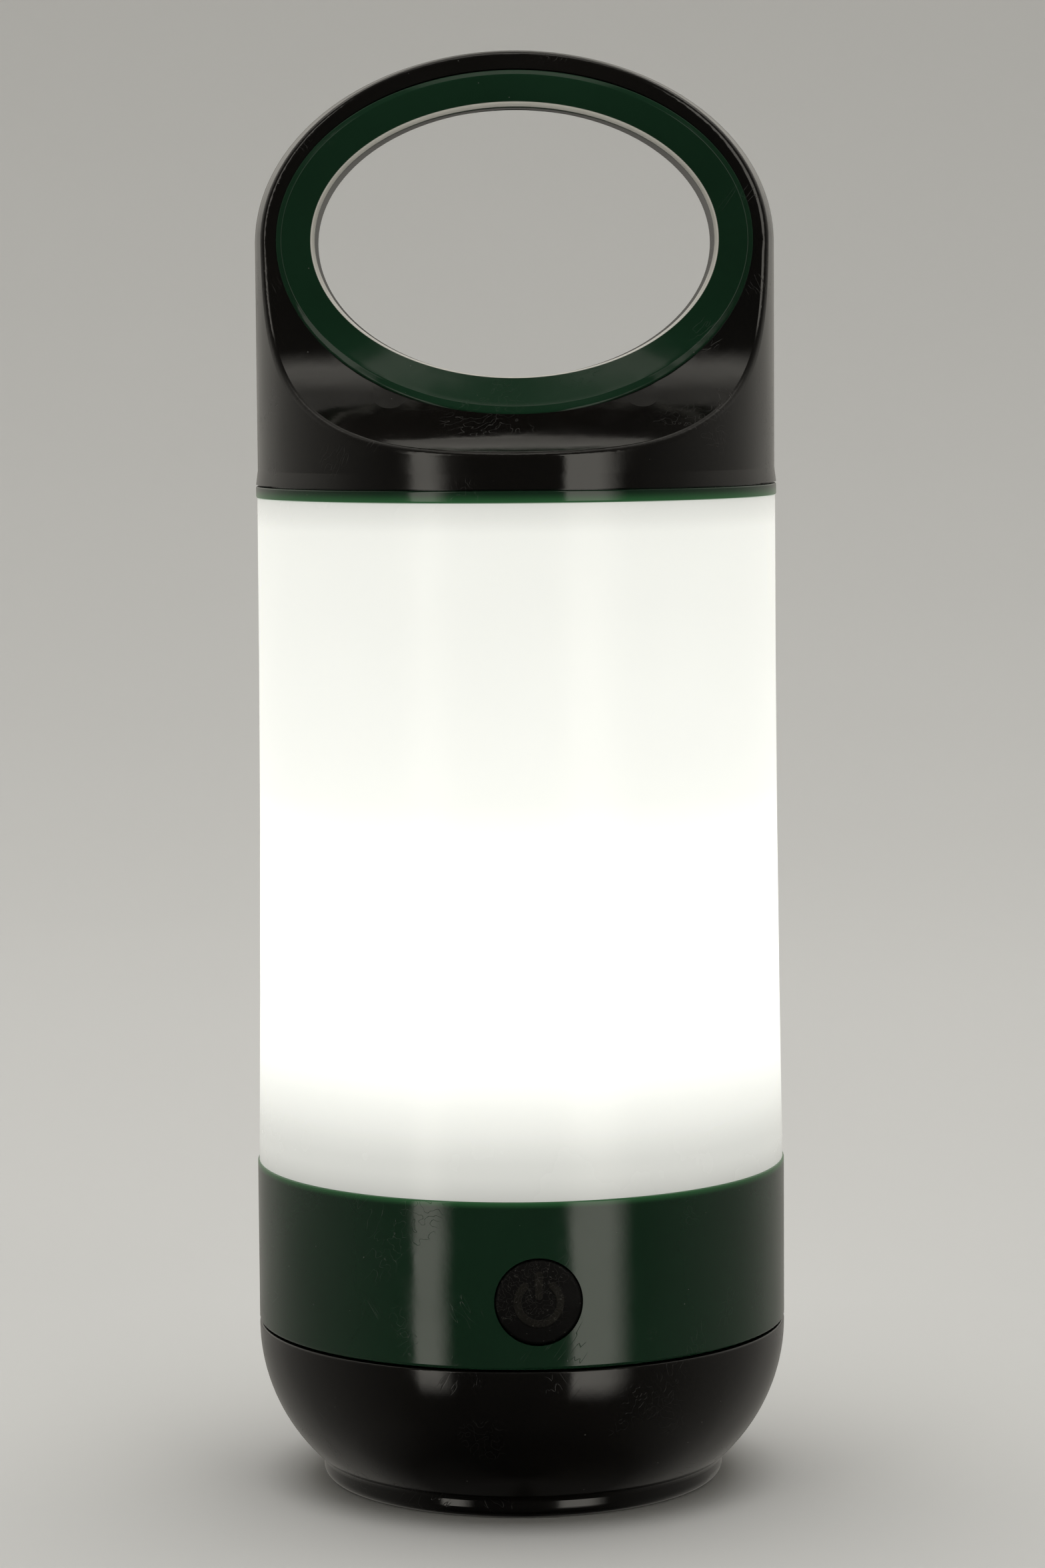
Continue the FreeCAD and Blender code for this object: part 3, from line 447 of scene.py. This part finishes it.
# --- finishes on the CAD's pieces ----------------------------------------------
def finishes():
    """A material for each of the record's slots but the cells', which go by their ends."""
    low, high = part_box("diffuser")
    lens_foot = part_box("led_emitters")[1].z - LED_LENS
    return {
        "black": gloss_plastic("black_gloss", *BLACK).material,
        "green": green_gloss(low.z, high.z),
        "opal": opal_lit(low.z, high.z),
        "white": matte_plastic("white_plastic", (0.72, 0.72, 0.69), (0.78, 0.78, 0.76), 0.4),
        "button": button_grain(),
        "structure": matte_plastic("structure_plastic", (0.014, 0.014, 0.015), (0.022, 0.022, 0.023), 0.5),
        "steel": steel(),
        "board": circuit_board("green_board", (0.008, 0.1, 0.03), (0.02, 0.2, 0.07)),
        "led_board": circuit_board("white_board", (0.74, 0.74, 0.72), (0.82, 0.82, 0.8)),
        "led": led_resin(lens_foot),
        "seal": rubber("seal_rubber", (0.014, 0.014, 0.014)),
        "red_wire": rubber("red_insulation", (0.42, 0.012, 0.012), 0.4),
        "black_wire": rubber("black_insulation", (0.012, 0.012, 0.012), 0.4),
    }


def dress(node, material):
    """Gives a CAD piece this material."""
    slots = frame["nodes"][node].data.materials
    for index in range(len(slots)):
        slots[index] = material


def nub_is_up(node):
    """True if the narrow positive contact is at the top of this cell."""
    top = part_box(node)[1].z
    xs = [v.co.x for v in frame["nodes"][node].data.vertices if v.co.z > top - CELL_TOP_LAYER]
    return max(xs) - min(xs) < CELL_NUB_WIDEST


def dress_all(made):
    for part in frame["record"]["subparts"]:
        node, slot = part["node"], part["material_slot"]
        if slot == "cell":
            low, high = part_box(node)
            ends = (high.z, low.z) if nub_is_up(node) else (low.z, high.z)
            dress(node, cell_wrap(node + "_wrap", *ends))
        else:
            dress(node, made[slot])


# --- finer pieces --------------------------------------------------------------
def add(name, data):
    """A new object in the scene."""
    made = bpy.data.objects.new(name, data)
    bpy.context.scene.collection.objects.link(made)
    return made


def smooth_mesh(name, verts, faces, material):
    mesh = bpy.data.meshes.new(name)
    mesh.from_pydata(verts, [], faces)
    mesh.validate()
    mesh.shade_smooth()
    mesh.materials.append(material)
    return mesh


def piece(name, verts, faces, material, body, slot, *nodes):
    """A smooth-shaded mesh that rides on a body and stands for CAD nodes."""
    made = add(name, smooth_mesh(name, verts, faces, material))
    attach(made, body)
    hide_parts(*nodes)
    return made


def mark(made, name, values):
    """A number at each vertex, for the material to read."""
    layer = made.data.attributes.new(name, "FLOAT", "POINT")
    layer.data.foreach_set("value", values)


def ring_faces(rings, around, closed):
    """Quads between successive rings of points, from the last to the first again if closed."""
    faces = []
    for ring in range(rings if closed else rings - 1):
        a, b = ring * around, (ring + 1) % rings * around
        for k in range(around):
            after = (k + 1) % around
            faces.append((a + k, b + k, b + after, a + after))
    return faces


def disc_faces(rings, around):
    """Triangles round point 0, and quads from there out to the last of the rings."""
    fan = [(0, 1 + k, 1 + (k + 1) % around) for k in range(around)]
    return fan + [tuple(1 + v for v in quad) for quad in ring_faces(rings, around, False)]


class TrimFace:
    """The front trim's curved face: how far it is from the middle plane at each height."""

    def __init__(self, clear_x, clear_z):
        low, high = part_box("trim_ring_front")
        self.middle = (low.z + high.z) / 2
        self.outer = ((high.x - low.x) / 2, (high.z - low.z) / 2)
        sleeve_low, sleeve_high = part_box("grip_sleeve")
        self.inner = ((sleeve_high.x - sleeve_low.x) / 2 - clear_x,
                      (sleeve_high.z - sleeve_low.z) / 2 - clear_z)
        mesh = frame["nodes"]["trim_ring_front"].data
        tree = BVHTree.FromPolygons([v.co for v in mesh.vertices], [p.vertices for p in mesh.polygons])
        reach = self.outer[1] - BEVEL
        shares = [k / FACE_STEPS for k in range(FACE_STEPS + 1)]
        self.heights = [self.middle - reach + 2 * reach * share for share in shares]
        self.depths = [self.struck(tree, z) for z in self.heights]

    def half_width(self, ellipse, z):
        a, b = ellipse
        return a * math.sqrt(max(0.0, 1 - ((z - self.middle) / b) ** 2))

    def struck(self, tree, z):
        """The CAD face's distance from the middle plane at this height."""
        x = (self.half_width(self.outer, z) + self.half_width(self.inner, z)) / 2
        hit = tree.ray_cast(Vector((x, -0.1, z)), Vector((0, 1, 0)))[0]
        return -hit.y

    def depth(self, z):
        """Half thickness at height z, in a straight line past the ends of what was measured."""
        k = 0
        while k < len(self.heights) - 2 and z > self.heights[k + 1]:
            k += 1
        share = (z - self.heights[k]) / (self.heights[k + 1] - self.heights[k])
        return self.depths[k] + share * (self.depths[k + 1] - self.depths[k])

    def place(self, x, z, rise):
        """The point over x and z that stands rise above the face, square to it."""
        slope = (self.depth(z + MM) - self.depth(z - MM)) / (2 * MM)
        long = math.hypot(1.0, slope)
        return Vector((x, -self.depth(z) - rise / long, z - rise * slope / long))


def trim_section():
    """The trim's section as (from outer edge?, distance from that edge, rise), going once round."""
    section = [(True, across, rise) for across, rise in OUTER_EDGE]
    section.append((False, LIP_WIDE + TRIM_FLAT, TRIM_CROWN))
    for k in range(LIP_STEPS + 1):
        turn = math.pi / 2 * k / LIP_STEPS
        across = LIP_WIDE * (1 - math.sin(turn))
        section.append((False, across, -LIP_DEEP * (1 - math.cos(turn))))
    section.append((False, 0.0, -TRIM_DEEP))
    return section


def trim_ring(name, node, material, turn, lip):
    """Oval trim with a bevelled outer edge and a rounded lip at the hand opening, painted with a pale
    highlight.
    """
    clear_x, clear_z, lift = lip
    face = TrimFace(clear_x, clear_z)
    section = trim_section()
    around = TRIM_AROUND
    about = Matrix.Rotation(turn, 4, "Z")
    verts = []
    for from_outer, across, rise in section:
        a, b = face.outer if from_outer else face.inner
        way = -1 if from_outer else 1
        centre = face.middle + (0.0 if from_outer else lift)
        for k in range(around):
            t = 2 * math.pi * k / around
            outward = Vector((b * math.cos(t), a * math.sin(t))).normalized()
            x = a * math.cos(t) + way * across * outward.x
            z = centre + b * math.sin(t) + way * across * outward.y
            verts.append(about @ face.place(x, z, rise))
    faces = [quad[::-1] for quad in ring_faces(len(section), around, True)]
    made = piece(name, verts, faces, material, "body", "green", node)
    # the pale painted highlight covers this share of the lip's width
    low, high = (share * LIP_WIDE for share in LIP_HIGHLIGHT_SPAN)
    painted_lip_highlight = [float(not from_outer and low < across < high) for from_outer, across, _ in section]
    mark(made, "painted_lip_highlight", [value for value in painted_lip_highlight for _ in range(around)])


def symbol_mask(x, z):
    """1 on the power symbol, 0 off it, with a soft edge."""
    r = math.hypot(x, z)
    angle = abs(math.degrees(math.atan2(x, z)))
    end = math.radians(SYMBOL_GAP)
    if angle > SYMBOL_GAP:
        to_arc = abs(r - SYMBOL_R)
    else:
        to_arc = math.hypot(abs(x) - SYMBOL_R * math.sin(end), z - SYMBOL_R * math.cos(end))
    foot, top = SYMBOL_BAR
    to_bar = math.hypot(x, z - min(max(z, foot + SYMBOL_HALF), top))
    inside = SYMBOL_HALF + SYMBOL_EDGE / 2 - min(to_arc, to_bar)
    share = min(1.0, max(0.0, inside / SYMBOL_EDGE))
    return share * share * (3 - 2 * share)


def dome_drop(r):
    """How far the button's face falls away at this radius."""
    return BUTTON_DOME * (r / BUTTON_R) ** 2


def button_profile(face, flange_r, stem_end):
    """The button's (radius, distance out from the lantern's axis), from the centre to the stem."""
    flat = BUTTON_R - BUTTON_ROUND
    radii = [flat * k / BUTTON_RINGS for k in range(1, BUTTON_RINGS + 1)]
    profile = [(r, face - dome_drop(r)) for r in radii]
    for k in range(1, BUTTON_ROUND_STEPS + 1):
        turn = math.pi / 2 * k / BUTTON_ROUND_STEPS
        profile.append((flat + BUTTON_ROUND * math.sin(turn),
                        face - dome_drop(flat) - BUTTON_ROUND * (1 - math.cos(turn))))
    return profile + [(BUTTON_R, FLANGE_TOP), (flange_r, FLANGE_TOP), (flange_r, FLANGE_FOOT),
                      (STEM_R, FLANGE_FOOT), (STEM_R, stem_end)]


def power_button(material):
    """Domed button with a raised symbol, a rounded rim, a retaining flange and a stem."""
    joint = next(j for j in frame["record"]["behaviour"]["joints"] if j["name"] == "button_press")
    inward = Vector(joint["axis"]).normalized()
    side = Vector((0, 0, 1)).cross(inward) * -1
    low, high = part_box("power_button")
    centre = Vector((0, 0, (low.z + high.z) / 2))
    reach = [-v.co.dot(inward) for v in frame["nodes"]["power_button"].data.vertices]
    face = max(reach) - SYMBOL_RISE
    profile = button_profile(face, (high.z - low.z) / 2, min(reach))
    around = BUTTON_AROUND
    masks = [symbol_mask(0, 0)]
    verts = [centre - inward * (face + SYMBOL_RISE * masks[0])]
    for r, out in profile:
        on_face = r <= BUTTON_R - BUTTON_ROUND
        for k in range(around):
            turn = 2 * math.pi * k / around
            x, z = r * math.sin(turn), r * math.cos(turn)
            mask = symbol_mask(x, z) if on_face else 0.0
            verts.append(centre - inward * (out + SYMBOL_RISE * mask) + side * x + Vector((0, 0, z)))
            masks.append(mask)
    faces = [points[::-1] for points in disc_faces(len(profile), around)]
    stem_foot = 1 + (len(profile) - 1) * around
    faces.append(tuple(stem_foot + k for k in range(around)))
    made = piece("power_button_face", verts, faces, material, "button", "button", "power_button")
    mark(made, "symbol", masks)


# --- studio, lights and camera ---------------------------------------------------
def studio_paper():
    """Matte backdrop paper, very slightly clouded."""
    f = Finish("studio_paper", Roughness=0.9, Specular_IOR_Level=0.1)
    pale = tuple(c * 0.97 for c in FLOOR_COLOR)
    f.set("Base Color", f.mix(f.noise(0.4, 3.0), FLOOR_COLOR, pale))
    return f.material


def sweep():
    """Round seamless floor that curves up into a wall, the same from every side."""
    corner, around = 16, 96
    profile = [(SWEEP_FLAT * share, 0.0) for share in (0.3, 0.6, 1.0)]
    for k in range(1, corner + 1):
        turn = math.pi / 2 * k / corner
        profile.append((SWEEP_FLAT + SWEEP_CURVE * math.sin(turn), SWEEP_CURVE * (1 - math.cos(turn))))
    profile.append((SWEEP_FLAT + SWEEP_CURVE, SWEEP_WALL))
    verts = [(0.0, 0.0, 0.0)]
    for radius, z in profile:
        for k in range(around):
            turn = 2 * math.pi * k / around
            verts.append((radius * math.cos(turn), radius * math.sin(turn), z))
    faces = disc_faces(len(profile), around)
    floor = add("studio_floor", smooth_mesh("studio_floor", verts, faces, studio_paper()))
    floor.visible_glossy = False


def overhead_light():
    """Large soft light above, which shades the floor but isn't mirrored."""
    width, depth = OVERHEAD_SIZE
    light = bpy.data.lights.new("overhead", "AREA")
    light.shape = "RECTANGLE"
    light.size = width
    light.size_y = depth
    light.energy = OVERHEAD_RADIANCE * math.pi * width * depth
    lamp = add("overhead", light)
    lamp.location = OVERHEAD_PLACE
    lamp.visible_camera = False
    lamp.visible_glossy = False


def surroundings():
    """Soft light by direction: tall strips in front, pale sides and back, bright above."""
    world = bpy.data.worlds.new("studio")
    world.use_nodes = True
    g = Graph(world.node_tree, "Background", "Generated")
    x, y, z = g.axis("X"), g.axis("Y"), g.axis("Z")
    azimuth = g.math("DEGREES", g.math("ARCTAN2", x, g.times(y, -1.0)))
    elevation = g.math("DEGREES", g.math("ARCSINE", z))
    turned = g.math("ABSOLUTE", azimuth)
    level = g.times(g.curve(turned, SIDES), g.curve(elevation, BELOW))
    behind = g.window(turned, *FRONT_TO_BACK)
    before = g.math("SUBTRACT", 1.0, behind)
    sky = g.plus(g.times(g.curve(elevation, BACK_SKY), behind),
                 g.times(g.curve(elevation, FRONT_SKY), before))
    total = g.plus(level, sky)
    for across, up, radiance in STRIPS:
        strip = g.times(g.between(azimuth, *across), g.between(elevation, *up))
        total = g.plus(total, g.times(strip, radiance))
    g.set("Color", WARM)
    g.set("Strength", total)
    bpy.context.scene.world = world


def place_camera():
    """The photo's view: in front of the lantern at hand height, looking slightly down."""
    data = bpy.data.cameras.new("camera")
    data.sensor_width = SENSOR
    data.lens = LENS
    camera = add("camera", data)
    pan = Matrix.Rotation(math.radians(CAMERA_PAN), 4, "Z")
    tilt = Matrix.Rotation(math.radians(90 - CAMERA_DOWN), 4, "X")
    roll = Matrix.Rotation(math.radians(CAMERA_ROLL), 4, "Z")
    camera.matrix_world = Matrix.Translation(CAMERA_PLACE) @ pan @ tilt @ roll
    bpy.context.scene.camera = camera


# --- the scene ---------------------------------------------------------------------
materials = finishes()
dress_all(materials)
trim = trim_green()
trim_ring("trim_ring_front_face", "trim_ring_front", trim, 0.0, LIP_FRONT)
trim_ring("trim_ring_rear_face", "trim_ring_rear", trim, math.pi, LIP_REAR)
power_button(materials["button"])
sweep()
overhead_light()
surroundings()
place_camera()
bpy.context.scene.view_settings.view_transform = "Standard"
